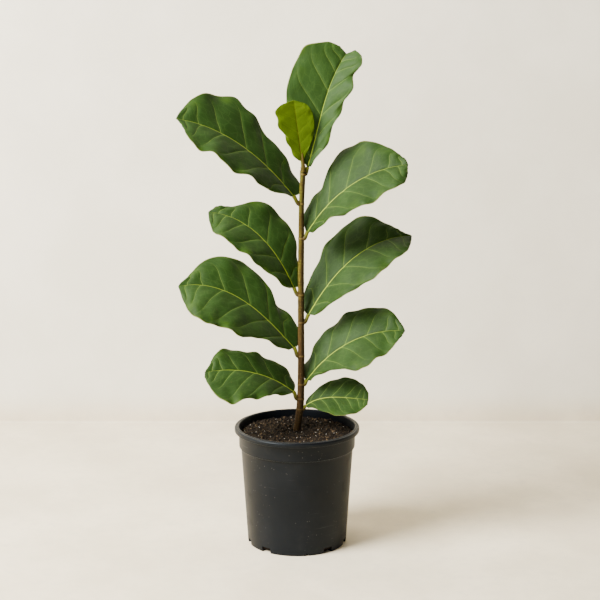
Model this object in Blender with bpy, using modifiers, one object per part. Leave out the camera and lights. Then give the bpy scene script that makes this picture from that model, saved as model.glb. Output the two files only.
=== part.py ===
"""Potted fiddle leaf fig: a nursery pot, its soil, one woody stem, and leaves on short stalks.

Metres, +Z up. The pot stands on the floor at the origin and +X is to the viewer's right.
"""

import math

import bpy
import numpy as np
from mathutils import Vector

MM = 0.001
GAP = 0.0003  # between pieces that touch

# Pot
POT_HEIGHT = 0.162
POT_TOP_RADIUS = 0.0758  # body, just under the collar
POT_BASE_RADIUS = 0.067
POT_WALL = 0.0015
POT_FLOOR = 0.002
COLLAR_STEP = 0.003
COLLAR_HEIGHT = 0.0215
LIP_WIDTH = 0.0055
LIP_HEIGHT = 0.0065
POT_STEPS = 48
DRAIN_WIDTH = 0.015
DRAIN_HEIGHT = 0.0075
DRAIN_ANGLES = (38, 74, 106, 142)  # either side of the front
NICK_WIDTH = 0.005
NICK_HEIGHT = 0.003
NICK_ANGLE = 12

# Soil
SOIL_DROP = 0.0075  # from the lip down to the soil's edge
SOIL_MOUND = 0.0012
STEM_DEPTH = 0.055  # how far the stem goes into the soil

# Stem: height above the soil and lean to the right in mm, and thickness as a share of STEM_RADIUS
STEM_RADIUS = 0.0048
STEM_PATH = (
    (0, 0.0, 1.00),
    (27, 3.6, 1.02),
    (56, 5.2, 0.98),
    (82, 5.5, 0.89),
    (112, 5.6, 0.86),
    (167, 5.3, 0.80),
    (217, 5.3, 0.75),
    (267, 5.7, 0.70),
    (309, 6.0, 0.68),
    (341, 7.4, 0.72),
    (352, 7.8, 0.75),
)
STEM_POINTS = 34

# Bud sheath and leaf stalks
SHEATH_RADIUS = 0.0016
SHEATH_HEIGHT = 0.017
STALK_RADIUS = 0.0021
STALK_FLARE = 1.3  # at the stem
STALK_SQUARE = 0.0004  # straight length at each end, so that the ends are square

# Blades
BLADE_THICKNESS = 0.0008
BLADE_ROWS = 16
BLADE_COLUMNS = 8
VEIN_SWEEP = 0.72  # under 1, a row runs forward from the midrib to the margin

# Each leaf, lengths in mm and angles in degrees:
#   at        height of its node above the soil
#   stalk     the stalk's reach outward and its rise
#   heading   direction in plan, anticlockwise from +X
#   climb     steepness of the midrib at the base, the middle and the tip
#   tilt      how far the back half is raised about the midrib
#   fold      how far both halves are raised from flat
#   ripple    height of the margin's waves, and where the waves start
#   back/front  margin of each half, as (along, out) from the blade's base
LEAVES = {
    "leaf_1": dict(
        at=30, stalk=(3.5, 6), heading=348, climb=(41, 3, 2), tilt=36, fold=8,
        length=86, ripple=(1.6, 0.4),
        back=((4, 5), (15, 12), (26, 18), (36, 27), (48, 32), (60, 31), (75, 23), (84, 9)),
        front=((4, 7), (18, 17), (31, 26), (45, 34), (56, 34), (66, 28), (78, 20), (85, 9)),
    ),
    "leaf_2": dict(
        at=44.5, stalk=(5, 12.5), heading=192, climb=(41, 15, -8), tilt=38, fold=8,
        length=126, ripple=(2.0, 2.6),
        back=(
            (2, 5), (6, 13), (24, 26), (36, 28), (50, 31), (60, 32), (72, 30),
            (84, 32), (94, 34), (108, 25), (119, 8),
        ),
        front=(
            (4, 10), (16, 20), (28, 26), (39, 38), (52, 46), (73, 51), (88, 60),
            (102, 60), (118, 48), (126, 26), (128, 9),
        ),
    ),
    "leaf_3": dict(
        at=63.5, stalk=(5, 7), heading=350, climb=(56, 30, -2), tilt=40, fold=8,
        length=152, ripple=(2.2, 1.2),
        back=(
            (2, 8), (10, 18), (34, 26), (50, 35), (66, 40), (84, 44), (96, 42),
            (106, 42), (121, 39), (135, 28), (146, 12),
        ),
        front=(
            (5, 10), (23, 16), (38, 24), (53, 37), (66, 48), (84, 56), (104, 55),
            (118, 45), (131, 38), (143, 23), (150, 10),
        ),
    ),
    "leaf_4": dict(
        at=103, stalk=(5.5, 12.5), heading=188, climb=(49, 35, -12), tilt=40, fold=8,
        length=183, ripple=(2.8, 5.0),
        back=(
            (2, 8), (12, 18), (38, 31), (58, 33), (72, 41), (94, 51), (108, 57),
            (124, 51), (138, 48), (148, 42), (160, 28), (174, 8),
        ),
        front=(
            (4, 9), (25, 28), (49, 40), (63, 48), (78, 64), (97, 67), (114, 65),
            (136, 70), (159, 65), (173, 49), (181, 22),
        ),
    ),
    "leaf_5": dict(
        at=149.5, stalk=(6.5, 12.5), heading=8, climb=(60, 40, -2), tilt=34, fold=8,
        length=178, ripple=(2.4, 3.4),
        back=(
            (3, 8), (20, 19), (45, 28), (64, 40), (80, 45), (97, 48), (110, 52),
            (124, 54), (138, 43), (149, 29), (159, 18), (172, 5),
        ),
        front=(
            (4, 12), (21, 21), (38, 32), (52, 42), (75, 47), (90, 55), (111, 57),
            (131, 46), (151, 41), (165, 34), (174, 18),
        ),
    ),
    "leaf_6": dict(
        at=186, stalk=(5.5, 12.5), heading=172, climb=(66, 44, 1), tilt=34, fold=8,
        length=158, ripple=(2.0, 0.0),
        back=(
            (2, 7), (22, 18), (41, 34), (57, 43), (76, 48), (90, 48), (105, 45),
            (115, 36), (124, 25), (136, 17), (148, 10),
        ),
        front=(
            (2, 8), (11, 20), (33, 30), (46, 37), (62, 45), (78, 46), (96, 49),
            (112, 47), (125, 46), (140, 39), (152, 21),
        ),
    ),
    "leaf_7": dict(
        at=263, stalk=(5.5, 10.5), heading=348, climb=(59, 36, 6), tilt=42, fold=8,
        length=162, ripple=(2.4, 4.2),
        back=(
            (2, 9), (11, 16), (36, 27), (54, 34), (66, 41), (78, 51), (93, 60),
            (110, 56), (123, 47), (135, 37), (146, 26), (157, 12),
        ),
        front=(
            (4, 9), (24, 22), (43, 30), (60, 41), (81, 49), (98, 54), (115, 52),
            (130, 46), (147, 43), (158, 32), (162, 14),
        ),
    ),
    "leaf_8": dict(
        at=308, stalk=(6.5, 13), heading=192, climb=(52, 36, 9), tilt=42, fold=8,
        length=187, ripple=(2.6, 1.8),
        back=(
            (2, 7), (9, 23), (38, 31), (72, 42), (90, 52), (108, 56), (124, 65),
            (138, 59), (152, 52), (169, 36), (180, 16),
        ),
        front=(
            (4, 10), (23, 24), (52, 43), (76, 48), (94, 55), (117, 51), (135, 47),
            (152, 47), (168, 36), (179, 13),
        ),
    ),
    "leaf_9": dict(
        at=347, stalk=(4, 14), heading=30, climb=(70, 72, 50), tilt=48, fold=18,
        length=152, ripple=(2.4, 0.8),
        back=(
            (5, 6), (31, 25), (56, 43), (78, 51), (102, 54), (119, 54), (134, 51),
            (142, 40), (151, 28), (155, 13),
        ),
        front=(
            (2, 4), (15, 9), (36, 20), (58, 21), (74, 27), (92, 27), (111, 34),
            (130, 25), (147, 29), (157, 22), (161, 9),
        ),
    ),
    "young_leaf": dict(
        at=352, stalk=(-0.2, 13), heading=184, climb=(85, 82, 83), tilt=80, fold=6,
        length=80, ripple=(0.8, 2.0),
        back=((3, 4), (15, 11), (31, 19), (43, 22), (61, 22), (73, 15), (77, 7)),
        front=((2, 5), (9, 12), (27, 21), (40, 22), (53, 27), (65, 27), (75, 19), (79, 8)),
    ),
}
YOUNG_LEAF = "young_leaf"
YOUNG_STALK_RADIUS = 0.0011
YOUNG_PLACE = (-0.0014, -0.0016)  # of its stalk's foot, from the middle of the stem's top
SHEATH_PLACE = (0.0011, 0.0011)


def clear_scene():
    for item in list(bpy.data.objects):
        bpy.data.objects.remove(item, do_unlink=True)


def make_collection(name):
    collection = bpy.data.collections.new(name)
    bpy.context.scene.collection.children.link(collection)
    return collection


def make_material(name, colour, roughness):
    material = bpy.data.materials.new(name)
    material.use_nodes = True
    shader = material.node_tree.nodes["Principled BSDF"]
    shader.inputs["Base Color"].default_value = (*colour, 1)
    shader.inputs["Roughness"].default_value = roughness
    shader.inputs["Metallic"].default_value = 0
    return material


def add_mesh_object(name, mesh, collection, material, smooth=True):
    item = bpy.data.objects.new(name, mesh)
    mesh.materials.append(material)
    if smooth:
        mesh.shade_smooth()
    collection.objects.link(item)
    return item


def smooth_curve(points, count):
    """Points evenly spaced along a smooth curve through the given ones."""
    points = np.array(points, float)
    steps = np.linalg.norm(np.diff(points, axis=0), axis=1)
    along = np.concatenate([[0], np.cumsum(steps)])
    slopes = np.gradient(points, along, axis=0)
    places = np.linspace(0, along[-1], count)
    index = np.clip(np.searchsorted(along, places, side="right") - 1, 0, len(steps) - 1)
    span = steps[index][:, None]
    share = (places - along[index])[:, None] / span
    start, end = points[index], points[index + 1]
    out = (2 * share**3 - 3 * share**2 + 1) * start + (3 * share**2 - 2 * share**3) * end
    out += (share**3 - 2 * share**2 + share) * span * slopes[index]
    out += (share**3 - share**2) * span * slopes[index + 1]
    return out


def turned(name, profile, collection, material):
    """A profile of (radius, height) turned about the Z axis."""
    mesh = bpy.data.meshes.new(name)
    points = [(radius, 0, height) for radius, height in profile]
    mesh.from_pydata(points, [(i, i + 1) for i in range(len(points) - 1)], [])
    item = add_mesh_object(name, mesh, collection, material, smooth=False)
    screw = item.modifiers.new("Turn", "SCREW")
    screw.steps = screw.render_steps = POT_STEPS
    screw.use_merge_vertices = True
    screw.merge_threshold = 0.00005
    screw.use_smooth_shade = True
    return item


def tube(name, points, radii, collection, material, resolution=2):
    """A round bar along the points, with a radius at each."""
    curve = bpy.data.curves.new(name, "CURVE")
    curve.dimensions = "3D"
    curve.bevel_depth = 1
    curve.bevel_resolution = resolution
    curve.use_fill_caps = True
    spline = curve.splines.new("POLY")
    spline.points.add(len(points) - 1)
    for point, place, radius in zip(spline.points, points, radii):
        point.co = (*place, 1)
        point.radius = radius
    spline.use_smooth = True
    curve.materials.append(material)
    item = bpy.data.objects.new(name, curve)
    collection.objects.link(item)
    return item


# Pot


def pot_radius(height):
    """The body's outer radius at a height."""
    share = height / (POT_HEIGHT - COLLAR_HEIGHT - LIP_HEIGHT)
    return POT_BASE_RADIUS + (POT_TOP_RADIUS - POT_BASE_RADIUS) * share


def pot_levels():
    collar_top = POT_HEIGHT - LIP_HEIGHT
    collar_bottom = collar_top - COLLAR_HEIGHT
    collar_radius = POT_TOP_RADIUS + COLLAR_STEP
    return collar_bottom, collar_top, collar_radius


def pot_inner_radius(height):
    collar_bottom, collar_top, collar_radius = pot_levels()
    if height > collar_bottom:
        return collar_radius - POT_WALL
    return pot_radius(height) - POT_WALL


def pot_profile():
    bottom, top, collar = pot_levels()
    lip = collar + LIP_WIDTH
    inner_lip = collar + 0.0008
    slope = 0.0008
    return [
        (0, POT_FLOOR),
        (pot_inner_radius(POT_FLOOR), POT_FLOOR),
        (pot_radius(bottom - 0.002) - POT_WALL, bottom - 0.002),
        (collar - POT_WALL - 0.0004, bottom + 0.0012),
        (collar - POT_WALL, top - 0.001),
        (inner_lip - 0.0007, POT_HEIGHT - 0.001),
        (inner_lip + 0.0004, POT_HEIGHT),
        (lip - 0.0018, POT_HEIGHT),
        (lip - 0.0005, POT_HEIGHT - 0.0005),
        (lip, POT_HEIGHT - 0.0017),
        (lip, top + 0.0008),
        (lip - 0.0009, top),
        (collar + 0.001, top),
        (collar + 0.0003, top - 0.0008),
        (collar - slope, bottom + 0.001),
        (collar - slope - 0.0008, bottom),
        (pot_radius(bottom) + 0.0007, bottom - 0.0006),
        (pot_radius(bottom - 0.002), bottom - 0.002),
        (pot_radius(0.0015), 0.0015),
        (POT_BASE_RADIUS - 0.0006, 0.0004),
        (POT_BASE_RADIUS - 0.0016, 0),
        (0, 0),
    ]


def corner_cut(name, width, height, angle, cutters):
    """A box across the pot's bottom corner, at an angle from the front."""
    depth = 0.012
    turn = math.radians(angle - 90)
    middle = POT_BASE_RADIUS - depth / 2 + POT_WALL + 0.0015
    place = Vector((math.cos(turn), math.sin(turn), 0)) * middle
    bpy.ops.mesh.primitive_cube_add(size=1, location=place, rotation=(0, 0, turn))
    cutter = bpy.context.object
    cutter.name = name
    cutter.scale = (depth, width, 2 * height)
    for collection in list(cutter.users_collection):
        collection.objects.unlink(cutter)
    cutters.objects.link(cutter)
    cutter.hide_render = True
    cutter.display_type = "WIRE"
    return cutter


def cut(item, cutter):
    boolean = item.modifiers.new(cutter.name, "BOOLEAN")
    boolean.operation = "DIFFERENCE"
    boolean.solver = "EXACT"
    boolean.object = cutter


def build_pot(collection, cutters):
    plastic = make_material("pot_plastic", (0.028, 0.028, 0.027), 0.42)
    pot = turned("pot", pot_profile(), collection, plastic)
    for angle in DRAIN_ANGLES:
        for side in (-1, 1):
            name = f"cut_drain_{side * angle}"
            cut(pot, corner_cut(name, DRAIN_WIDTH, DRAIN_HEIGHT, side * angle, cutters))
    for angle in (NICK_ANGLE, NICK_ANGLE + 180):
        cut(pot, corner_cut(f"cut_nick_{angle}", NICK_WIDTH, NICK_HEIGHT, angle, cutters))
    return pot


# Soil


def soil_level():
    """Height of the soil's surface at the stem."""
    return POT_HEIGHT - SOIL_DROP + SOIL_MOUND


def build_soil(collection):
    earth = make_material("soil", (0.030, 0.021, 0.014), 0.95)
    bottom, _, collar = pot_levels()
    edge = POT_HEIGHT - SOIL_DROP
    wall = pot_inner_radius(edge) - GAP - 0.0004
    socket = STEM_RADIUS * STEM_PATH[0][2] + GAP
    foot = soil_level() - STEM_DEPTH - GAP
    profile = [
        (0, foot),
        (socket, foot),
        (socket, soil_level()),
        (0.35 * wall, soil_level() - 0.0002),
        (0.70 * wall, edge + 0.5 * SOIL_MOUND),
        (wall - 0.004, edge),
        (wall, edge - 0.0015),
        (collar - POT_WALL - 0.0004 - GAP, bottom + 0.0014),
        (pot_radius(bottom - 0.002) - POT_WALL - GAP, bottom - 0.002),
        (pot_inner_radius(POT_FLOOR) - GAP, POT_FLOOR + GAP),
        (0, POT_FLOOR + GAP),
    ]
    return turned("soil", profile, collection, earth)


# Stem


def stem_curve(count):
    """Places (metres) and radii along the stem above the soil."""
    found = smooth_curve(STEM_PATH, count)
    places = [Vector((lean * MM, 0, soil_level() + height * MM)) for height, lean, _ in found]
    return places, [share * STEM_RADIUS for _, _, share in found]


def stem_at(height):
    """The stem's middle and radius at a height above the soil, in mm."""
    found = smooth_curve(STEM_PATH, 300)
    lean = np.interp(height, found[:, 0], found[:, 1])
    share = np.interp(height, found[:, 0], found[:, 2])
    return Vector((lean * MM, 0, soil_level() + height * MM)), share * STEM_RADIUS


def stem_face(height, out):
    """How far the stem comes outward from its middle, anywhere beside a stalk at that height."""
    middle, _ = stem_at(height)
    span = STALK_RADIUS * STALK_FLARE / MM
    found = 0
    for level in (height - span, height, height + span):
        place, radius = stem_at(level)
        found = max(found, (place - middle).dot(out) + radius)
    return found


def build_stem(collection):
    bark = make_material("bark", (0.165, 0.115, 0.045), 0.75)
    places, radii = stem_curve(STEM_POINTS)
    foot = Vector((0, 0, soil_level() - STEM_DEPTH))
    places = [foot, foot * 0.5 + places[0] * 0.5, *places]
    radii = [STEM_RADIUS * 0.7, STEM_RADIUS * 0.9, *radii]
    top = places[-1]
    places[-1] = Vector((places[-2].x, 0, top.z))  # so that the end is level
    return tube("stem", places, radii, collection, bark, resolution=3)


def stem_top():
    places, _ = stem_curve(STEM_POINTS)
    return Vector((places[-2].x, 0, places[-1].z))


def build_sheath(collection):
    brown = make_material("sheath_brown", (0.19, 0.105, 0.035), 0.7)
    foot = stem_top() + Vector((*SHEATH_PLACE, GAP))
    shares = ((0, 1.0), (0.12, 1.1), (0.35, 1.0), (0.7, 0.62), (1, 0.2))
    places = [foot + Vector((0.0008 * share, 0, SHEATH_HEIGHT * share)) for share, _ in shares]
    radii = [SHEATH_RADIUS * thickness for _, thickness in shares]
    return tube("bud_sheath", places, radii, collection, brown)


# Leaves


def heading_vector(degrees):
    return Vector((math.cos(math.radians(degrees)), math.sin(math.radians(degrees)), 0))


def blade_base(name):
    """Where the stalk leaves the stem, the stalk's first direction, and the blade's base."""
    leaf = LEAVES[name]
    reach, rise = leaf["stalk"]
    if name == YOUNG_LEAF:
        start = stem_top() + Vector((*YOUNG_PLACE, GAP))
        return start, Vector((0, 0, 1)), start + Vector((reach, 0, rise)) * MM
    out = heading_vector(leaf["heading"])
    middle, _ = stem_at(leaf["at"])
    start = middle + out * (stem_face(leaf["at"], out) + GAP)
    return start, out, start + out * reach * MM + Vector((0, 0, rise * MM))


def midrib_frames(name, count):
    """Evenly spaced along the midrib: the place, and the ways along, across to the back, and up."""
    leaf = LEAVES[name]
    out = heading_vector(leaf["heading"])
    across = Vector((-out.y, out.x, 0))
    if across.y < 0:
        across = -across
    low, middle, high = leaf["climb"]
    tilt = math.radians(leaf["tilt"])
    _, _, place = blade_base(name)
    step = leaf["length"] * MM / (count - 1)
    frames = []
    for i in range(count):
        share = i / (count - 1)
        bend = (2 * low + 2 * high - 4 * middle) * share**2
        climb = math.radians(low + (4 * middle - 3 * low - high) * share + bend)
        along = out * math.cos(climb) + Vector((0, 0, math.sin(climb)))
        normal = Vector((0, 0, math.cos(climb))) - out * math.sin(climb)
        back = across * math.cos(tilt) + normal * math.sin(tilt)
        up = normal * math.cos(tilt) - across * math.sin(tilt)
        frames.append((place.copy(), along, back, up))
        place = place + along * step
    return frames


def blade_point(leaf, frames, margins, row_share, column_share):
    """A point of the blade: row_share runs from base to tip, column_share from -1 to 1 (back)."""
    side = 1 if column_share > 0 else -1
    edge = margins[side]
    reach = abs(column_share)
    along_edge, out_edge = edge[round((row_share**VEIN_SWEEP) * (len(edge) - 1))]
    start = leaf["length"] * row_share
    sweep = 0.7 * reach + 0.3 * reach**2
    along = start + (along_edge - start) * sweep
    out = out_edge * reach
    place_share = min(max(along / leaf["length"], 0), 1)
    place, forward, back, up = frames[round(place_share * (len(frames) - 1))]
    fold = math.radians(leaf["fold"])
    height, phase = leaf["ripple"]
    waves = math.sin(phase + side + along / leaf["length"] * 2 * math.pi * 3.2)
    lift = out * math.sin(fold) + height * waves * reach**2
    past = (along - place_share * leaf["length"]) * MM
    point = place + forward * past + back * (side * out * math.cos(fold) * MM)
    return point + up * (lift * MM)


def build_blade(name, collection, material):
    leaf = LEAVES[name]
    frames = midrib_frames(name, 401)
    margins = {1: smooth_curve(leaf["back"], 401), -1: smooth_curve(leaf["front"], 401)}
    bpy.ops.mesh.primitive_grid_add(
        x_subdivisions=BLADE_ROWS, y_subdivisions=BLADE_COLUMNS, size=2
    )
    blade = bpy.context.object
    blade.name = name
    blade.data.name = name
    for vertex in blade.data.vertices:
        row_share = (vertex.co.x + 1) / 2
        vertex.co = blade_point(leaf, frames, margins, row_share, vertex.co.y)
    blade.data.materials.append(material)
    blade.data.shade_smooth()
    if (blade.data.polygons[0].normal.dot(frames[0][3])) < 0:
        blade.data.flip_normals()
    solid = blade.modifiers.new("Thickness", "SOLIDIFY")
    solid.thickness = BLADE_THICKNESS
    solid.offset = 0
    for held in list(blade.users_collection):
        held.objects.unlink(blade)
    collection.objects.link(blade)
    return blade


def build_stalk(name, collection, material):
    foot, out, base = blade_base(name)
    forward = midrib_frames(name, 3)[0][1]
    head = base - forward * GAP
    start, end = foot + out * STALK_SQUARE, head - forward * STALK_SQUARE
    pull = (end - start).length * 0.4
    first, last = start + out * pull, end - forward * pull
    radius = YOUNG_STALK_RADIUS if name == YOUNG_LEAF else STALK_RADIUS
    flare = 1 if name == YOUNG_LEAF else STALK_FLARE
    places = [foot]
    radii = [radius * flare]
    count = 6
    for i in range(count):
        t = i / (count - 1)
        place = start * (1 - t) ** 3 + first * 3 * t * (1 - t) ** 2
        place += last * 3 * t**2 * (1 - t) + end * t**3
        places.append(place)
        radii.append(radius * (1 + (flare - 1) * (1 - t) ** 2))
    return tube(f"{name}_stalk", [*places, head], [*radii, radius], collection, material)


def build_leaves(collection):
    green = make_material("leaf_green", (0.045, 0.125, 0.022), 0.45)
    lime = make_material("young_green", (0.21, 0.36, 0.03), 0.4)
    stalk_green = make_material("stalk_green", (0.24, 0.30, 0.07), 0.5)
    for name in LEAVES:
        build_stalk(name, collection, stalk_green)
        build_blade(name, collection, lime if name == YOUNG_LEAF else green)


def main():
    clear_scene()
    parts = make_collection("potted_fiddle_leaf_fig")
    cutters = make_collection("cutters")
    build_pot(parts, cutters)
    build_soil(parts)
    build_stem(parts)
    build_sheath(parts)
    build_leaves(parts)


main()
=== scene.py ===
import math

import bpy
import numpy as np
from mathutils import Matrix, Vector, noise


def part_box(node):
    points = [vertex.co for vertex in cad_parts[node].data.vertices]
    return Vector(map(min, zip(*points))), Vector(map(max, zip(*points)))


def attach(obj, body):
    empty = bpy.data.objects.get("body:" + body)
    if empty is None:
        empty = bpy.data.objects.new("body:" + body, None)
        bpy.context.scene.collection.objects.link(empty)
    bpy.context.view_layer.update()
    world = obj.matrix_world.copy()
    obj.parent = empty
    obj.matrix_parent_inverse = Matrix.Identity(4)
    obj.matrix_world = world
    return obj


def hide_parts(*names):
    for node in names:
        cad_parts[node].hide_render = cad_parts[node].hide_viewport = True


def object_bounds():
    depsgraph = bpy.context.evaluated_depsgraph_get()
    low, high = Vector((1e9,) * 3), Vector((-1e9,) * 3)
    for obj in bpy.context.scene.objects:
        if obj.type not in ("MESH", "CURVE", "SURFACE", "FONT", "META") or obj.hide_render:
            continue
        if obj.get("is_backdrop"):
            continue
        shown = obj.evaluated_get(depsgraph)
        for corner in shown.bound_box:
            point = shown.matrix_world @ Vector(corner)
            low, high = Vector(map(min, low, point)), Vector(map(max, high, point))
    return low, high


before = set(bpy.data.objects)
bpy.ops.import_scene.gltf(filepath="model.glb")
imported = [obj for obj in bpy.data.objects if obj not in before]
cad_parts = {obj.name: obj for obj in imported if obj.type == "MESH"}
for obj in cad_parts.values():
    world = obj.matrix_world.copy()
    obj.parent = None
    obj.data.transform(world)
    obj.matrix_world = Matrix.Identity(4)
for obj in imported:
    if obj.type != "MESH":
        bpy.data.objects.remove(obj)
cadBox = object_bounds()
mm = 0.001


class Wire:
    # A node's output. Sums on it add Math nodes to its tree.
    def __init__(self, bench, socket):
        self.bench = bench
        self.socket = socket

    def math(self, operation, *values):
        return self.bench.node("ShaderNodeMath", {"operation": operation}, *values)

    def __add__(self, other):
        return self.math("ADD", self, other)

    def __radd__(self, other):
        return self.math("ADD", other, self)

    def __sub__(self, other):
        return self.math("SUBTRACT", self, other)

    def __rsub__(self, other):
        return self.math("SUBTRACT", other, self)

    def __mul__(self, other):
        return self.math("MULTIPLY", self, other)

    def __rmul__(self, other):
        return self.math("MULTIPLY", other, self)

    def __truediv__(self, other):
        return self.math("DIVIDE", self, other)

    def __rtruediv__(self, other):
        return self.math("DIVIDE", other, self)

    def __pow__(self, other):
        return self.math("POWER", self, other)

    def abs(self):
        return self.math("ABSOLUTE", self)

    def sin(self):
        return self.math("SINE", self)

    def least(self, other):
        return self.math("MINIMUM", self, other)

    def most(self, other):
        return self.math("MAXIMUM", self, other)

    def fraction(self):
        return self.math("FRACT", self)

    def between(self, low, high):
        # 0 at low and 1 at high, with soft ends; low may be the larger
        return self.bench.node(
            "ShaderNodeMapRange",
            {"interpolation_type": "SMOOTHSTEP"},
            **{"Value": self, "From Min": low, "From Max": high},
        )


class Bench:
    # Adds nodes to one tree: type, settings first, then socket values in order or by name.
    def __init__(self, tree):
        self.tree = tree

    def plug(self, socket, value):
        if isinstance(value, Wire):
            self.tree.links.new(value.socket, socket)
        elif isinstance(value, tuple) and len(value) == 3 and socket.type == "RGBA":
            socket.default_value = (*value, 1)
        else:
            socket.default_value = value

    def make(self, kind, settings=None, *values, **named):
        made = self.tree.nodes.new(kind)
        for key, value in (settings or {}).items():
            if key == "stops":
                ramp = made.color_ramp
                while len(ramp.elements) < len(value):
                    ramp.elements.new(1)
                for element, (place, colour) in zip(ramp.elements, value):
                    element.position = place
                    element.color = (*colour, 1)
            else:
                setattr(made, key, value)
        for socket, value in zip(made.inputs, values):
            self.plug(socket, value)
        for key, value in named.items():
            found = [s for s in made.inputs if s.name == key and s.enabled]
            self.plug(found[0], value)
        return made

    def node(self, kind, settings=None, *values, **named):
        return self.out(self.make(kind, settings, *values, **named))

    def out(self, made, name=None):
        found = [s for s in made.outputs if s.enabled and name in (None, s.name)]
        return Wire(self, found[0])

    def attribute(self, name, vector=False):
        made = self.make("ShaderNodeAttribute", {"attribute_name": name})
        return Wire(self, made.outputs["Vector" if vector else "Fac"])

    def place(self):
        return Wire(self, self.make("ShaderNodeTexCoord").outputs["Object"])

    def parts(self, vector):
        made = self.make("ShaderNodeSeparateXYZ", None, vector)
        return [Wire(self, socket) for socket in made.outputs]

    def vector(self, x, y, z):
        return self.node("ShaderNodeCombineXYZ", None, x, y, z)

    def noise(self, vector, scale, detail=3.0, roughness=0.55):
        return self.node(
            "ShaderNodeTexNoise",
            None,
            **{"Vector": vector, "Scale": scale, "Detail": detail, "Roughness": roughness},
        )

    def cells(self, vector, scale, feature="F1", randomness=1.0):
        made = self.make(
            "ShaderNodeTexVoronoi",
            {"feature": feature},
            **{"Vector": vector, "Scale": scale, "Randomness": randomness},
        )
        return Wire(self, made.outputs["Distance"])

    def blend(self, factor, first, second, mode="MIX"):
        made = self.make("ShaderNodeMix", {"data_type": "RGBA", "blend_type": mode})
        sockets = [s for s in made.inputs if s.enabled]
        for socket, value in zip(sockets, (factor, first, second)):
            self.plug(socket, value)
        return self.out(made)

    def scaled(self, vector, factor):
        return self.node(
            "ShaderNodeVectorMath", {"operation": "SCALE"}, **{"Vector": vector, "Scale": factor}
        )

    def moved(self, geometry, **where):
        return self.node("GeometryNodeSetPosition", None, **{"Geometry": geometry, **where})

    def bump(self, height, strength, distance=0.001):
        return self.node(
            "ShaderNodeBump", None, **{"Strength": strength, "Distance": distance, "Height": height}
        )


def newMaterial(name):
    material = bpy.data.materials.new(name)
    material.use_nodes = True
    bench = Bench(material.node_tree)
    shader = material.node_tree.nodes["Principled BSDF"]

    def finish(*values):
        # colour, roughness, normal, specular level and tint, as far as they are given
        keys = ("Base Color", "Roughness", "Normal", "Specular IOR Level", "Specular Tint")
        for key, value in zip(keys, values):
            bench.plug(shader.inputs[key], value)
        return material

    return bench, finish


def newTree(name, inputs):
    # A geometry tree with named inputs: {name: (socket kind, value)}
    tree = bpy.data.node_groups.new(name, "GeometryNodeTree")
    tree.interface.new_socket("Geometry", in_out="INPUT", socket_type="NodeSocketGeometry")
    for title, (kind, value) in inputs.items():
        socket = tree.interface.new_socket(title, in_out="INPUT", socket_type=f"NodeSocket{kind}")
        if value is not None:
            socket.default_value = value
    tree.interface.new_socket("Geometry", in_out="OUTPUT", socket_type="NodeSocketGeometry")
    bench = Bench(tree)
    entry = bench.make("NodeGroupInput")
    wires = {socket.name: Wire(bench, socket) for socket in entry.outputs if socket.name}
    return tree, bench, wires


def endTree(bench, geometry, material):
    # Every tree ends in Realize Instances and Set Material.
    real = bench.node("GeometryNodeRealizeInstances", None, geometry)
    dressed = bench.node("GeometryNodeSetMaterial", None, **{"Geometry": real, "Material": material})
    bench.make("NodeGroupOutput", None, dressed)


def runTree(piece, tree, values):
    # Applies a tree and leaves the plain mesh.
    modifier = piece.modifiers.new(tree.name, "NODES")
    modifier.node_group = tree
    ids = {item.name: item.identifier for item in tree.interface.items_tree if item.in_out == "INPUT"}
    for title, value in values.items():
        modifier[ids[title]] = value
    return applied(piece)


def applied(piece):
    bpy.context.view_layer.update()
    graph = bpy.context.evaluated_depsgraph_get()
    mesh = bpy.data.meshes.new_from_object(piece.evaluated_get(graph))
    mesh.name = piece.name
    piece.modifiers.clear()
    old = piece.data
    piece.data = mesh
    bpy.data.meshes.remove(old)
    return piece


def newPiece(name, points, faces=(), edges=()):
    mesh = bpy.data.meshes.new(name)
    mesh.from_pydata([tuple(map(float, p)) for p in points], list(edges), list(faces))
    piece = bpy.data.objects.new(name, mesh)
    bpy.context.scene.collection.objects.link(piece)
    return piece


def setFloats(piece, name, values):
    made = piece.data.attributes.new(name, "FLOAT", "POINT")
    made.data.foreach_set("value", np.array(values, np.float32).ravel())


def settle(piece, slot, *nodes):
    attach(piece, "root")
    if nodes:
        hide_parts(*nodes)


def smoothCurve(points, count):
    # Points evenly spaced along a smooth curve through the given ones.
    points = np.array(points, float)
    steps = np.linalg.norm(np.diff(points, axis=0), axis=1)
    along = np.concatenate([[0], np.cumsum(steps)])
    slopes = np.gradient(points, along, axis=0)
    places = np.linspace(0, along[-1], count)
    index = np.clip(np.searchsorted(along, places, side="right") - 1, 0, len(steps) - 1)
    span = steps[index][:, None]
    share = (places - along[index])[:, None] / span
    start, end = points[index], points[index + 1]
    out = (2 * share**3 - 3 * share**2 + 1) * start + (3 * share**2 - 2 * share**3) * end
    out += (share**3 - 2 * share**2 + share) * span * slopes[index]
    out += (share**3 - share**2) * span * slopes[index + 1]
    return out


def hump(values, middle, width):
    return np.exp(-(((values - middle) / width) ** 2))


# Camera, light and floor
studio = {
    "eye": (0.004, -2.0776, 0.7803),
    "pitch": 77.9,
    "lens": 96,
    "wallAt": 0.56,
    "coveRadius": 0.004,
    "coveSteps": 12,
    "sheetReach": (4.0, 3.5),  # to each side, and forward and up
    "airColour": (1.0, 0.985, 0.95),
    "airStrength": 0.09,
    "keyLamp": {
        "place": (-1.75, -1.05, 2.05),
        "target": (0, 0, 0.3),
        "size": 1.5,
        "power": 366,
        "colour": (1.0, 0.97, 0.92),
    },
    "frontFill": {
        "place": (-1.3, -2.5, 0.45),
        "target": (0, 0, 0.4),
        "size": 1.3,
        "power": 24,
        "colour": (1.0, 0.98, 0.95),
    },
}


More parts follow.
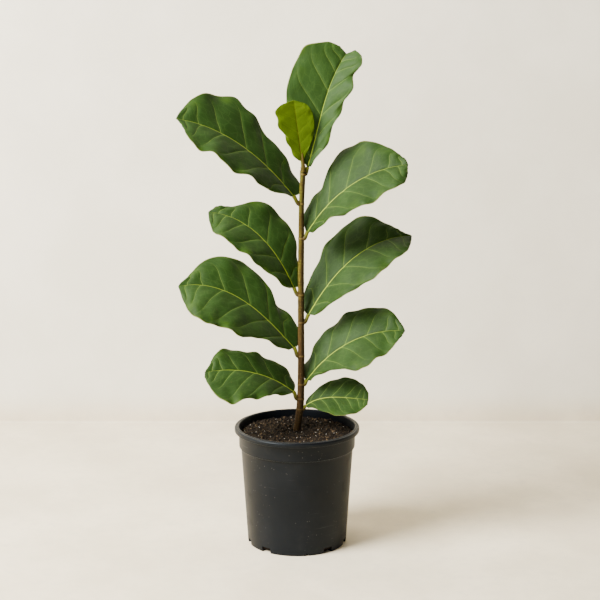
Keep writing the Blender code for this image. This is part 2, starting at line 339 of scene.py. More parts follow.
def makeCamera():
    data = bpy.data.cameras.new("camera")
    data.lens = studio["lens"]
    data.sensor_width = 36
    camera = bpy.data.objects.new("camera", data)
    camera.location = studio["eye"]
    camera.rotation_euler = (math.radians(studio["pitch"]), 0, 0)
    bpy.context.scene.collection.objects.link(camera)
    bpy.context.scene.camera = camera


def makeLamp(name, place, target, size, power, colour):
    data = bpy.data.lights.new(name, "AREA")
    data.shape = "DISK"
    data.size = size
    data.energy = power
    data.color = colour
    lamp = bpy.data.objects.new(name, data)
    lamp.location = place
    lamp.rotation_euler = (Vector(target) - Vector(place)).to_track_quat("-Z", "Y").to_euler()
    bpy.context.scene.collection.objects.link(lamp)


def makeLights():
    world = bpy.data.worlds.new("studioAir")
    bpy.context.scene.world = world
    world.use_nodes = True
    background = world.node_tree.nodes["Background"]
    background.inputs["Color"].default_value = (*studio["airColour"], 1)
    background.inputs["Strength"].default_value = studio["airStrength"]
    for name in ("keyLamp", "frontFill"):
        makeLamp(name, **studio[name])


def plasterMaterial():
    bench, finish = newMaterial("palePlaster")
    place = bench.place()
    cloud = bench.noise(place, 6.0, 6.0, 0.62)
    grain = bench.noise(place, 60.0, 5.0, 0.65)
    height = bench.parts(place)[2]
    onWall = height.between(0.0, 0.06)
    floorTone = bench.blend(cloud.between(0.3, 0.7), (0.65, 0.570, 0.415), (0.77, 0.685, 0.515))
    floorTone = bench.blend(grain.between(0.45, 0.75) * 0.4, floorTone, (0.60, 0.53, 0.43))
    wallTone = bench.blend(cloud.between(0.3, 0.7), (0.74, 0.70, 0.59), (0.81, 0.77, 0.66))
    tone = bench.blend(onWall, floorTone, wallTone)
    normal = bench.bump(grain, 0.12, 0.002)
    return finish(tone, 0.85, normal)


def clearFromBehind(material):
    # The sheet shows only on its front, so that the wall doesn't hide the plant's back.
    bench = Bench(material.node_tree)
    nodes = material.node_tree.nodes
    back = Wire(bench, bench.make("ShaderNodeNewGeometry").outputs["Backfacing"])
    front = Wire(bench, nodes["Principled BSDF"].outputs[0])
    mixed = bench.node("ShaderNodeMixShader", None, back, front, bench.node("ShaderNodeBsdfTransparent"))
    bench.plug(nodes["Material Output"].inputs["Surface"], mixed)
    return material


def makeStudio():
    # Floor and wall in one sheet, with a rounded corner between them.
    wallAt, bend, steps = studio["wallAt"], studio["coveRadius"], studio["coveSteps"]
    side, reach = studio["sheetReach"]
    profile = [(-reach, 0), (-0.6, 0), (0.3, 0)]
    for step in range(steps + 1):
        turn = math.radians(90 * step / steps)
        profile.append((wallAt - bend + bend * math.sin(turn), bend - bend * math.cos(turn)))
    profile += [(wallAt, 1.5), (wallAt, reach)]
    points = [(x, y, z) for y, z in profile for x in (-side, side)]
    faces = [(2 * i, 2 * i + 1, 2 * i + 3, 2 * i + 2) for i in range(len(profile) - 1)]
    sheet = newPiece("studio_floor", points, faces)
    sheet.data.materials.append(clearFromBehind(plasterMaterial()))
    sheet.data.shade_smooth()
    sheet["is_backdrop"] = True


makeCamera()
makeLights()
makeStudio()
print("studio made")


# The CAD pieces that the rest is placed on
potBox = [Vector(corner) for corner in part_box("pot")]
soilBox = [Vector(corner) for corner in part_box("soil")]
stemBox = [Vector(corner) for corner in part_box("stem")]

# The pot, turned about its axis, with notches cut in its bottom corner
potShape = {
    "height": potBox[1].z,
    "lipRadius": potBox[1].x,
    "lipWidth": 5.5 * mm,
    "lipHeight": 6.5 * mm,
    "collarHeight": 21.5 * mm,
    "collarStep": 3.0 * mm,
    "footRadius": 67 * mm,
    "wall": 1.5 * mm,
    "floor": 2.0 * mm,
    "drainSize": (15 * mm, 7.5 * mm),
    "drainAngles": (38, 74, 106, 142),
    "nickSize": (5 * mm, 3 * mm),
    "nickAngles": (12, 192),
    "steps": 180,
}


def potLevels():
    top = potShape["height"] - potShape["lipHeight"]
    bottom = top - potShape["collarHeight"]
    collar = potShape["lipRadius"] - potShape["lipWidth"]
    return bottom, top, collar


def bodyRadius(height):
    bottom, _, collar = potLevels()
    foot = potShape["footRadius"]
    return foot + (collar - potShape["collarStep"] - foot) * height / bottom


def arc(middle, radius, first, last, count):
    turns = np.radians(np.linspace(first, last, count))
    return [(middle[0] + radius * math.cos(t), middle[1] + radius * math.sin(t)) for t in turns]


def potProfile():
    # Up the inside, over the rolled lip and down the outside.
    bottom, top, collar = potLevels()
    wall, height, lip = potShape["wall"], potShape["height"], potShape["lipRadius"]
    points = [(0, potShape["floor"]), (0.03, potShape["floor"])]
    inner = bodyRadius(potShape["floor"]) - wall
    points += [(inner - 2 * mm, potShape["floor"]), (inner - 0.5 * mm, potShape["floor"] + 0.3 * mm)]
    points += [(bodyRadius(h) - wall, h) for h in np.linspace(4 * mm, bottom - 2 * mm, 8)]
    points += [(collar - wall - 1.2 * mm, bottom + 0.2 * mm), (collar - wall - 0.4 * mm, bottom + 1.6 * mm)]
    points += [(collar - wall, bottom + 6 * mm), (collar - wall, top)]
    points += arc((collar + 0.7 * mm, height - 1.5 * mm), 1.5 * mm, 180, 90, 6)
    points += [(collar + 1.5 * mm, height - 0.25 * mm), (collar + 2.1 * mm, height - 0.75 * mm)]
    points += arc((lip - 2.2 * mm, height - 2.6 * mm), 2.2 * mm, 110, 0, 9)
    points += arc((lip - 0.8 * mm, top + 0.8 * mm), 0.8 * mm, 0, -90, 4)
    points += [(lip - 1.3 * mm, top + 0.5 * mm), (lip - 1.6 * mm, top + 1.2 * mm)]
    points += [(collar + 0.9 * mm, top + 1.0 * mm), (collar + 0.3 * mm, top + 0.2 * mm)]
    points += [(collar, top - 1 * mm)]
    points += [(collar - 0.6 * mm, bottom + 1.2 * mm)]
    points += arc((collar - 1.6 * mm, bottom + 1.0 * mm), 1.0 * mm, 0, -90, 5)
    points += [(bodyRadius(bottom) + 0.5 * mm, bottom - 0.3 * mm)]
    points += [(bodyRadius(bottom) + 0.05 * mm, bottom - 1.2 * mm)]
    points += [(bodyRadius(h), h) for h in np.linspace(bottom - 4 * mm, 10 * mm, 10)]
    points += [(bodyRadius(h), h) for h in (8.6 * mm, 3 * mm)]
    points += arc((potShape["footRadius"] - 1.4 * mm, 1.4 * mm), 1.4 * mm, 0, -90, 5)
    points += [(0.03, 0), (0, 0)]
    return points


def cornerCut(size, angle):
    # A box across the pot's bottom corner.
    width, height = size
    middle = potShape["footRadius"] - 3 * mm
    turn = math.radians(angle - 90)
    corners = [
        (middle + a * 6 * mm, b * width / 2 * (1 if c < 0 else 0.9), c * height)
        for a in (-1, 1)
        for b in (-1, 1)
        for c in (-1, 1)
    ]
    faces = [(0, 1, 3, 2), (4, 6, 7, 5), (0, 4, 5, 1), (2, 3, 7, 6), (0, 2, 6, 4), (1, 5, 7, 3)]
    points = [
        (x * math.cos(turn) - y * math.sin(turn), x * math.sin(turn) + y * math.cos(turn), z)
        for x, y, z in corners
    ]
    return newPiece(f"cut{angle}", points, faces)


def potMaterial():
    bench, finish = newMaterial("charcoalPlastic")
    place = bench.place()
    x, y, height = bench.parts(place)
    cloud = bench.noise(place, 9.0, 4.0)
    fine = bench.noise(place, 420.0, 3.0)
    streak = bench.noise(bench.vector(x * 60, y * 60, height * 6), 2.0, 4.0)
    tone = bench.blend(cloud.between(0.3, 0.7), (0.0024, 0.0030, 0.0044), (0.0047, 0.0056, 0.0078))
    dust = bench.noise(place, 34.0, 6.0, 0.7).between(0.5, 0.8)
    lowDust = height.between(0.05, 0.0) * 0.5 + height.between(0.125, 0.165) * 0.5
    tone = bench.blend(dust * (0.04 + lowDust * 0.13), tone, (0.095, 0.092, 0.085))
    speck = bench.cells(place, 190.0).between(0.17, 0.06) * bench.noise(place, 30.0).between(0.5, 0.62)
    tone = bench.blend(speck * 0.28, tone, (0.18, 0.17, 0.15))
    scratch = bench.noise(bench.vector(x * 4, y * 4, height * 220), 3.0, 2.0).between(0.66, 0.74)
    scratch = scratch * bench.noise(place, 20.0).between(0.52, 0.6)
    tone = bench.blend(scratch * 0.18, tone, (0.10, 0.10, 0.10))
    rough = 0.34 + cloud * 0.12 + dust * 0.25 + streak * 0.06
    normal = bench.bump(fine * 0.5 + streak * 0.3, 0.12, 0.0004)
    return finish(tone, rough, normal, 0.13, (0.80, 0.92, 1.0))


def makePot():
    profile = potProfile()
    points = [(radius, 0, height) for radius, height in profile]
    pot = newPiece("nursery_pot", points, (), [(i, i + 1) for i in range(len(points) - 1)])
    screw = pot.modifiers.new("turn", "SCREW")
    screw.steps = screw.render_steps = potShape["steps"]
    screw.use_merge_vertices = True
    screw.merge_threshold = 0.00005
    applied(pot)
    cuts = []
    for angle in potShape["drainAngles"]:
        cuts += [cornerCut(potShape["drainSize"], side * angle) for side in (-1, 1)]
    cuts += [cornerCut(potShape["nickSize"], angle) for angle in potShape["nickAngles"]]
    for cut in cuts:
        boolean = pot.modifiers.new(cut.name, "BOOLEAN")
        boolean.operation = "DIFFERENCE"
        boolean.solver = "EXACT"
        boolean.object = cut
    applied(pot)
    for cut in cuts:
        bpy.data.objects.remove(cut)
    pot.data.materials.append(potMaterial())
    pot.data.shade_smooth()
    pot.data.set_sharp_from_angle(angle=math.radians(38))
    settle(pot, "pot_plastic", "pot")


makePot()
print("pot made")


# The soil, as a lumpy bed with grains strewn on it
soilShape = {
    "rings": 70,
    "spokes": 200,
    "lumps": ((30, 1.8), (85, 1.9), (200, 1.1)),  # noise scale and height in mm
    "clods": {"density": 10000, "size": 4.2, "spread": 0.55, "seed": 2},
    "crumbs": {"density": 80000, "size": 1.9, "spread": 0.75, "seed": 4},
    "grit": {"density": 150000, "size": 0.7, "spread": 0.6, "seed": 9},
    "perlite": {"density": 5200, "size": 0.9, "spread": 0.6, "seed": 23},
    "chips": {"density": 16000, "size": 2.2, "spread": 0.6, "seed": 31},
    "stemGap": 5.5 * mm,  # no grains nearer to the stem's middle
    "wallGap": 2.2 * mm,
    "patches": 46,  # along each side of the surface that holds the grains
}


def soilHeight(x, y):
    # Mounded toward the stem, lumpy, sinking a little at the pot's wall.
    radius = math.hypot(x, y)
    edge = soilBox[1].x
    height = soilBox[1].z - 1.6 * mm - 1.6 * mm * (radius / edge) ** 2
    for scale, lift in soilShape["lumps"]:
        height += noise.noise(Vector((x * scale, y * scale, scale))) * lift * mm
    return height - 2.0 * mm * max(0, radius / edge - 0.93) / 0.07


def soilBed():
    bottom, _, collar = potLevels()
    wall, gap = potShape["wall"], 0.35 * mm
    edge = collar - wall - 0.4 * mm
    rings, spokes = soilShape["rings"], soilShape["spokes"]
    side = [
        (collar - wall - 0.6 * mm - gap, bottom + 2 * mm),
        (bodyRadius(bottom - 2.4 * mm) - wall - gap, bottom - 2.4 * mm),
        (bodyRadius(40 * mm) - wall - gap, 40 * mm),
        (bodyRadius(6 * mm) - wall - gap, 6 * mm),
        (bodyRadius(4 * mm) - wall - 3 * mm, potShape["floor"] + gap),
    ]
    points = [(0, 0, soilHeight(0, 0))]
    for ring in range(1, rings + 1):
        radius = edge * ring / rings
        for spoke in range(spokes):
            turn = 2 * math.pi * spoke / spokes
            x, y = radius * math.cos(turn), radius * math.sin(turn)
            points.append((x, y, soilHeight(x, y)))
    for radius, height in side:
        for spoke in range(spokes):
            turn = 2 * math.pi * spoke / spokes
            points.append((radius * math.cos(turn), radius * math.sin(turn), height))
    points.append((0, 0, potShape["floor"] + gap))
    last = len(points) - 1
    rows = rings + len(side)
    faces = [(0, 1 + s, 1 + (s + 1) % spokes) for s in range(spokes)]
    for row in range(rows - 1):
        for s in range(spokes):
            a, b = 1 + row * spokes + s, 1 + row * spokes + (s + 1) % spokes
            faces.append((a, a + spokes, b + spokes, b))
    start = 1 + (rows - 1) * spokes
    faces += [(last, start + (s + 1) % spokes, start + s) for s in range(spokes)]
    return newPiece("soil_bed", points, faces)


def soilMaterial():
    bench, finish = newMaterial("pottingMix")
    place = bench.place()
    coarse = bench.noise(place, 160.0, 5.0, 0.7)
    fine = bench.noise(place, 900.0, 4.0, 0.7)
    lump = bench.cells(place, 420.0)
    tone = bench.blend(coarse.between(0.35, 0.7), (0.003, 0.002, 0.0015), (0.014, 0.009, 0.005))
    tone = bench.blend(fine.between(0.55, 0.75) * 0.5, tone, (0.040, 0.026, 0.014))
    normal = bench.bump(lump * 0.6 + fine * 0.5, 0.8, 0.001)
    return finish(tone, 0.93, normal, 0.1)


def crumbMaterial():
    bench, finish = newMaterial("soilCrumb")
    place = bench.place()
    patch = bench.noise(place, 240.0, 2.0)
    fine = bench.noise(place, 1500.0, 3.0)
    tone = bench.node(
        "ShaderNodeValToRGB",
        {
            "stops": (
                (0.30, (0.003, 0.002, 0.001)),
                (0.47, (0.0065, 0.0042, 0.0022)),
                (0.58, (0.023, 0.0150, 0.0075)),
                (0.72, (0.125, 0.084, 0.046)),
            )
        },
        patch,
    )
    normal = bench.bump(fine, 0.6, 0.0005)
    return finish(tone, 0.9, normal, 0.15)


def perliteMaterial():
    bench, finish = newMaterial("perlite")
    place = bench.place()
    stain = bench.noise(place, 400.0, 3.0)
    tone = bench.blend(stain.between(0.4, 0.75), (0.72, 0.70, 0.65), (0.30, 0.25, 0.19))
    normal = bench.bump(bench.cells(place, 2200.0), 0.5, 0.0004)
    return finish(tone, 0.8, normal)


def scatterTree():
    # Grains strewn on the faces that look up, each turned and sized by chance.
    inputs = {
        "Density": ("Float", 1000.0),
        "Grain size": ("Float", 0.001),
        "Size spread": ("Float", 0.5),
        "Flatness": ("Float", 1.0),
        "Sink": ("Float", 0.0),
        "Seed": ("Int", 0),
        "Material": ("Material", None),
    }
    tree, bench, given = newTree("strewnGrains", inputs)
    facing = bench.parts(bench.node("GeometryNodeInputNormal"))[2]
    isUp = bench.node("FunctionNodeCompare", {"operation": "GREATER_THAN"}, facing, 0.4)
    strewn = bench.make(
        "GeometryNodeDistributePointsOnFaces",
        None,
        **{
            "Mesh": given["Geometry"],
            "Selection": isUp,
            "Density": given["Density"],
            "Seed": given["Seed"],
        },
    )
    grain = bench.node("GeometryNodeMeshIcoSphere", None, **{"Radius": 0.5, "Subdivisions": 1})
    place = bench.node("GeometryNodeInputPosition")
    ragged = bench.noise(place, 2.6, 2.0, 0.5)
    grain = bench.moved(grain, Offset=bench.scaled(place, (ragged - 0.5) * 1.6))
    flat = bench.node(
        "GeometryNodeTransform",
        None,
        **{"Geometry": grain, "Scale": bench.vector(1.15, 0.85, given["Flatness"])},
    )

    def chance(low, high, offset, kind="FLOAT"):
        return bench.node(
            "FunctionNodeRandomValue",
            {"data_type": kind},
            **{"Min": low, "Max": high, "Seed": given["Seed"] + offset},
        )

    size = given["Grain size"] * (1 + given["Size spread"] * chance(-1.0, 1.3, 1))
    turn = chance((0.0, 0.0, 0.0), (6.28, 6.28, 6.28), 2, "FLOAT_VECTOR")
    turn = bench.node("FunctionNodeEulerToRotation", None, turn)
    copies = bench.node(
        "GeometryNodeInstanceOnPoints",
        None,
        **{
            "Points": bench.out(strewn, "Points"),
            "Instance": flat,
            "Rotation": turn,
            "Scale": bench.vector(size, size, size),
        },
    )
    sunk = bench.moved(copies, Offset=bench.vector(0.0, 0.0, given["Sink"]))
    endTree(bench, sunk, given["Material"])
    return tree


def soilTop(name, reach):
    # An open copy of the soil's surface, kept clear of the wall and of the stem.
    points, faces = [], []
    count = soilShape["patches"]
    for i in range(count + 1):
        for j in range(count + 1):
            x, y = reach * (2 * i / count - 1), reach * (2 * j / count - 1)
            points.append((x, y, soilHeight(x, y)))
    for i in range(count):
        for j in range(count):
            a = i * (count + 1) + j
            middle = (points[a][0] + reach / count, points[a][1] + reach / count)
            if soilShape["stemGap"] < math.hypot(*middle) < reach:
                faces.append((a, a + count + 1, a + count + 2, a + 1))
    return newPiece(name, points, faces)


def makeSoil():
    bed = soilBed()
    bed.data.materials.append(soilMaterial())
    bed.data.shade_smooth()
    settle(bed, "soil", "soil")
    tree = scatterTree()
    crumb, white = crumbMaterial(), perliteMaterial()
    reach = soilBox[1].x - soilShape["wallGap"]
    for name, material, flatness in (
        ("clods", crumb, 0.7),
        ("crumbs", crumb, 0.8),
        ("grit", crumb, 0.9),
        ("perlite", white, 0.85),
        ("chips", crumb, 0.25),
    ):
        sizes = soilShape[name]
        piece = soilTop(f"soil_{name}", reach)
        values = {
            "Density": float(sizes["density"]),
            "Grain size": sizes["size"] * mm,
            "Size spread": sizes["spread"],
            "Flatness": flatness,
            "Sink": 0.12 * sizes["size"] * mm,
            "Seed": sizes["seed"],
            "Material": material,
        }
        runTree(piece, tree, values)
        settle(piece, "soil")
        print(piece.name, len(piece.data.polygons), "faces")


makeSoil()
print("soil made")


def barTree():
    # Turns edge chains into round bars, as thick as their girth attribute says.
    inputs = {
        "Sides": ("Int", 12),
        "Wrinkle": ("Float", 0.0),
        "Wrinkle scale": ("Float", 300.0),
        "Material": ("Material", None),
    }
    tree, bench, given = newTree("girthBars", inputs)
    path = bench.node("GeometryNodeMeshToCurve", None, given["Geometry"])
    girth = bench.node(
        "GeometryNodeInputNamedAttribute", {"data_type": "FLOAT"}, **{"Name": "girth"}
    )
    ring = bench.node(
        "GeometryNodeCurvePrimitiveCircle", None, **{"Resolution": given["Sides"], "Radius": 1.0}
    )
    bar = bench.node(
        "GeometryNodeCurveToMesh",
        None,
        **{"Curve": path, "Profile Curve": ring, "Scale": girth, "Fill Caps": True},
    )
    place = bench.node("GeometryNodeInputPosition")
    x, y, z = bench.parts(place)
    stretched = bench.vector(x, y, z * 0.3)
    rough = bench.noise(stretched, given["Wrinkle scale"], 3.0, 0.5)
    push = bench.scaled(bench.node("GeometryNodeInputNormal"), (rough - 0.5) * given["Wrinkle"])
    bar = bench.moved(bar, Offset=push)
    bar = bench.node("GeometryNodeSetShadeSmooth", None, bar)
    endTree(bench, bar, given["Material"])
    return tree


barMaker = barTree()


def makeBar(name, chains, material, sides=16, wrinkle=0.0, scale=300.0, **marks):
    # chains: a list of (points, radii); marks: more values for each point
    points, edges, girths = [], [], []
    for places, radii in chains:
        start = len(points)
        points += [tuple(p) for p in places]
        girths += list(radii)
        edges += [(start + i, start + i + 1) for i in range(len(places) - 1)]
    piece = newPiece(name, points, (), edges)
    setFloats(piece, "girth", girths)
    for mark, found in marks.items():
        setFloats(piece, mark, found)
    values = {"Sides": sides, "Wrinkle": wrinkle, "Wrinkle scale": float(scale), "Material": material}
    return runTree(piece, barMaker, values)


# The stem, a bar along a path
stemShape = {
    "radius": 5.0,
    "path": (  # height above the soil, lean to the right, share of the radius
        (0, 0.0, 1.00),
        (27, 3.6, 1.00),
        (56, 5.2, 0.96),
        (82, 5.5, 0.91),
        (112, 5.6, 0.88),
        (167, 5.3, 0.85),
        (217, 5.3, 0.82),
        (267, 5.7, 0.79),
        (309, 6.0, 0.71),
        (341, 7.4, 0.73),
        (352, 7.8, 0.75),
    ),
    "buried": 20,
    "ringLift": 0.34,
    "oldRingLift": 0.16,
    "rows": 700,
    "oldNodes": (11, 19, 74, 89, 123, 135, 166, 175, 202, 215, 229, 244, 278, 293, 324, 335),
}
soilTopAtStem = soilBox[1].z
stemFound = smoothCurve(stemShape["path"], 600)


def stemAt(height):
    # The stem's middle and radius, in mm, at a height above the soil.
    lean = np.interp(height, stemFound[:, 0], stemFound[:, 1])
    share = np.interp(height, stemFound[:, 0], stemFound[:, 2])
    return Vector((lean, 0, height)), share * stemShape["radius"]


def toWorld(point):
    return Vector((point[0] * mm, point[1] * mm, point[2] * mm + soilTopAtStem))


# Leaves
# age and sheen: 0 dark to 1 fresh, and above 1 lighter still as painted sheen; relief: how strongly the
# surface is puckered, 1 if not given
# at: height of the node above the soil; stalk: reach and rise; heading: direction in plan
# climb: steepness of the midrib at base, middle and tip; tilt: how far the back half is raised
# fold: how far both halves are raised; ripple: height and start of the margin's waves
# back, front: each half's margin as (along, out) from the blade's base. Millimetres and degrees.

leaves = {
    "leaf_1": dict(
        relief=0.6, age=0.2, at=29, stalk=(2.4, 5), heading=348, climb=(41, 3, 2), tilt=36, fold=8,
        length=89, ripple=(0.8, 0.4),
        back=((3, 6), (14, 14), (26, 21), (37, 27), (49, 31), (62, 31), (77, 24), (88, 10)),
        front=((3, 7), (18, 18), (32, 27), (46, 33), (58, 34), (69, 31), (80, 23), (89, 10)),
    ),
    "leaf_2": dict(
        age=0.2, at=43.5, stalk=(4.8, 10.5), heading=192, climb=(41, 15, -8), tilt=38, fold=8,
        length=128, ripple=(2.0, 2.6),
        back=(
            (-1, 5), (1, 13), (22, 26), (37, 28), (51, 31), (61, 32), (73, 30), (85, 32),
            (95, 34), (110, 25), (121, 8),
        ),
        front=(
            (4, 10), (16, 20), (28, 26), (40, 38), (53, 46), (74, 51), (89, 60), (104, 60),
            (120, 48), (128, 26), (130, 9),
        ),
    ),
    "leaf_3": dict(
        age=0.35, at=63.5, stalk=(3, 6.5), heading=350, climb=(56, 30, -2), tilt=40, fold=8,
        length=157, ripple=(2.2, 1.2),
        back=(
            (-1, 8), (3, 16), (28, 27), (52, 35), (68, 40), (87, 44), (99, 42), (109, 42),
            (125, 39), (139, 28), (150, 12),
        ),
        front=(
            (5, 10), (24, 16), (39, 24), (55, 37), (68, 48), (87, 56), (107, 55), (122, 45),
            (135, 38), (147, 23), (154, 10),
        ),
    ),
    "leaf_4": dict(
        age=0.4, at=102.5, stalk=(5, 12), heading=188, climb=(49, 35, -12), tilt=40, fold=8,
        length=186, ripple=(2.8, 5.0),
        back=(
            (-3, 6), (-3, 13), (10, 25), (36, 34), (59, 33), (73, 41), (95, 51), (110, 57), (126, 51),
            (140, 48), (150, 42), (162, 28), (177, 8),
        ),
        front=(
            (4, 9), (25, 28), (50, 40), (64, 48), (79, 64), (98, 67), (116, 65), (138, 70),
            (161, 65), (176, 49), (184, 22),
        ),
    ),
    "leaf_5": dict(
        age=0.3, at=148.5, stalk=(5.4, 10.8), heading=8, climb=(60, 40, -2), tilt=34, fold=8,
        length=182, ripple=(2.4, 3.4),
        back=(
            (-1, 7), (1, 13), (24, 24), (46, 31), (65, 40), (82, 45), (99, 48), (112, 52),
            (126, 54), (141, 43), (152, 29), (162, 18), (175, 5),
        ),
        front=(
            (4, 12), (21, 21), (39, 32), (53, 42), (76, 47), (92, 55), (113, 57), (134, 46),
            (154, 41), (168, 34), (177, 18),
        ),
    ),
    "leaf_6": dict(
        age=0.35, at=186, stalk=(5, 10), heading=172, climb=(66, 44, 1), tilt=34, fold=8,
        length=160, ripple=(2.0, 0.0),
        back=(
            (-2, 6), (-1, 13), (18, 24), (41, 35), (58, 43), (77, 48), (91, 48), (107, 45), (117, 36),
            (126, 25), (138, 17), (150, 10),
        ),
        front=(
            (2, 8), (11, 20), (33, 30), (47, 37), (63, 45), (79, 46), (97, 49), (114, 47),
            (127, 46), (142, 39), (154, 21),
        ),
    ),
    "leaf_7": dict(
        age=0.3, at=262, stalk=(4.2, 9.5), heading=348, climb=(59, 36, 6), tilt=42, fold=8,
        length=167, ripple=(2.4, 4.2),
        back=(
            (-1, 7), (3, 14), (33, 28), (56, 34), (68, 41), (80, 51), (96, 60), (113, 56),
            (127, 47), (139, 37), (150, 26), (162, 12),
        ),
        front=(
            (4, 9), (25, 22), (44, 30), (62, 41), (83, 49), (101, 54), (118, 52), (134, 46),
            (151, 43), (163, 32), (167, 14),
        ),
    ),
    "leaf_8": dict(
        age=0.3, at=308, stalk=(6.6, 10.8), heading=192, climb=(52, 36, 9), tilt=42, fold=8,
        length=190, ripple=(2.6, 1.8),
        back=(
            (-3, 6), (-4, 13), (8, 26), (37, 34), (73, 42), (91, 52), (110, 56), (126, 65), (140, 59),
            (154, 52), (172, 36), (183, 16),
        ),
        front=(
            (4, 10), (23, 24), (53, 43), (77, 48), (95, 55), (119, 51), (137, 47), (154, 47),
            (171, 36), (182, 13),
        ),
    ),
    # Its age value above 1 lightens the whole blade, a painted sheen
    "leaf_9": dict(
        age=1.3, at=347, stalk=(3, 9), heading=30, climb=(70, 72, 50), tilt=48, fold=18,
        length=158, ripple=(2.4, 0.8),
        back=(
            (5, 6), (32, 25), (58, 43), (81, 51), (106, 54), (124, 54), (139, 51),
            (148, 40), (157, 28), (161, 13),
        ),
        front=(
            (2, 4), (16, 9), (37, 20), (60, 21), (77, 27), (96, 27), (115, 34),
            (135, 25), (153, 29), (163, 22), (167, 9),
        ),
    ),
    "young_leaf": dict(
        relief=0.35, age=0.5, at=352, stalk=(-0.5, 12), heading=184, climb=(85, 82, 83),
        tilt=80, fold=6, length=80, ripple=(0.8, 2.0),
        back=((3, 4), (15, 11), (31, 19), (43, 22), (61, 22), (73, 15), (77, 7)),
        front=(
            (2, 4), (8, 10), (20, 13), (29, 18), (39, 18), (50, 26), (60, 25), (69, 27),
            (76, 19), (79, 8),
        ),
    ),
}


bladeShape = {
    "rows": 160,
    "columns": 36,  # in each half
    "thickness": 0.62,
    "sweep": 0.43,  # under 1, a row runs forward from the midrib to the margin
    "ribPlaces": (-0.07, 0.09, 0.255, 0.445, 0.655, 0.82, 0.93, 1.04, 1.2),
    "waves": 3.2,
    "pucker": 1.05,
    "groove": 0.6,
    "scallop": 0.4,
    "curl": 1.3,
    "midribGirth": (1.2, 0.3),
    "ribGirth": (0.55, 0.16),
}


def leafSide(leaf):
    return 1 if 90 < leaf["heading"] < 270 else -1


def headingVector(degrees):
    return Vector((math.cos(math.radians(degrees)), math.sin(math.radians(degrees)), 0))


def stemFace(height, out):
    # How far the stem comes outward from its middle beside a stalk.
    span = stalkShape["radius"] * stalkShape["flare"]
    middle, _ = stemAt(height)
    found = 0
    for level in (height - span, height, height + span):
        place, radius = stemAt(level)
        found = max(found, (place - middle).dot(out) + radius)
    return found


def bladeBase(name, leaf):
    # Where the stalk leaves the stem, its first direction, and the blade's base, in mm.
    reach, rise = leaf["stalk"]
    if name == "young_leaf":
        start = Vector((stemTop[0] - 1.4, -1.6, stemTop[1] + 0.3))
        return start, Vector((0, 0, 1)), start + Vector((reach, 0, rise))
    out = headingVector(leaf["heading"])
    middle, _ = stemAt(leaf["at"])
    start = middle + out * (stemFace(leaf["at"], out) + 0.3)
    return start, out, start + out * reach + Vector((0, 0, rise))


def climbAt(leaf, share):
    low, middle, high = leaf["climb"]
    bend = (2 * low + 2 * high - 4 * middle) * share**2
    return math.radians(low + (4 * middle - 3 * low - high) * share + bend)


def midribCurve(name, leaf, base):
    # A curve along the midrib, in world metres, for the tree to sample.
    out = headingVector(leaf["heading"])
    count = 301
    step = leaf["length"] / (count - 1)
    place = base.copy()
    places = []
    for i in range(count):
        climb = climbAt(leaf, i / (count - 1))
        places.append(toWorld(place))
        place = place + (out * math.cos(climb) + Vector((0, 0, math.sin(climb)))) * step
    data = bpy.data.curves.new(f"{name}_line", "CURVE")
    data.dimensions = "3D"
    spline = data.splines.new("POLY")
    spline.points.add(count - 1)
    for point, found in zip(spline.points, places):
        point.co = (*found, 1)
    line = bpy.data.objects.new(f"{name}_line", data)
    bpy.context.scene.collection.objects.link(line)
    return line


def ribNumber(leaf, share, reach, side):
    # Whole numbers lie on the side veins, which arch forward near the margin.
    places = bladeShape["ribPlaces"]
    shift = 0.022 * math.sin(2.3 * leaf["ripple"][1] + side)
    return np.interp(share + shift + 0.65 * reach**4 * (1 - reach), places, range(len(places)))


def flatBlade(name, leaf):
    # The blade laid flat: x along, y outward with the back half positive, in metres.
    rows = np.linspace(0, 1, bladeShape["rows"]) ** 2.1
    columns = bladeShape["columns"]
    edges = {1: smoothCurve(leaf["back"], 1601), -1: smoothCurve(leaf["front"], 1601)}
    shares = np.linspace(-1, 1, 2 * columns + 1)
    grid = np.zeros((len(rows), len(shares), 2))
    ribs = np.zeros((len(rows), len(shares)))
    for i, u in enumerate(rows):
        for j, v in enumerate(shares):
            side = 1 if v > 0 else -1
            reach = abs(v)
            alongEdge, outEdge = edges[side][round(u ** bladeShape["sweep"] * 1600)]
            start = leaf["length"] * u
            sweep = 0.8 * reach + 0.2 * reach**2
            grid[i, j] = (start + (alongEdge - start) * sweep, side * outEdge * reach)
            ribs[i, j] = ribNumber(leaf, u, reach, side)
    grid *= mm
    byRow, byColumn = np.gradient(grid, rows, axis=0), np.gradient(grid, shares, axis=1)
    ribRow, ribColumn = np.gradient(ribs, rows, axis=0), np.gradient(ribs, shares, axis=1)
    area = byRow[..., 0] * byColumn[..., 1] - byRow[..., 1] * byColumn[..., 0]
    slopeAlong = ribRow * byColumn[..., 1] - ribColumn * byRow[..., 1]
    slopeOut = ribColumn * byRow[..., 0] - ribRow * byColumn[..., 0]
    gap = np.abs(area) / np.maximum(np.hypot(slopeAlong, slopeOut), 1e-9)
    gap = np.clip(gap, 0.002, 0.06)
    width = len(shares)
    faces = []
    for i in range(len(rows) - 1):
        for j in range(width - 1):
            a = i * width + j
            face = (a, a + width, a + width + 1, a + 1)
            faces.append(face[::-1] if leafSide(leaf) > 0 else face)
    points = [(x, y, 0) for x, y in grid.reshape(-1, 2)]
    blade = newPiece(name, points, faces)
    setFloats(blade, "rib", ribs)
    setFloats(blade, "ribGap", gap)
    setFloats(blade, "reach", np.tile(np.abs(shares), len(rows)))
    setFloats(blade, "run", np.repeat(rows, width))
    setFloats(blade, "age", np.full(len(points), leaf["age"]))
    flat = blade.data.attributes.new("flat", "FLOAT_VECTOR", "POINT")
    flat.data.foreach_set("vector", np.array(points, np.float32).ravel())
    return blade, ribs


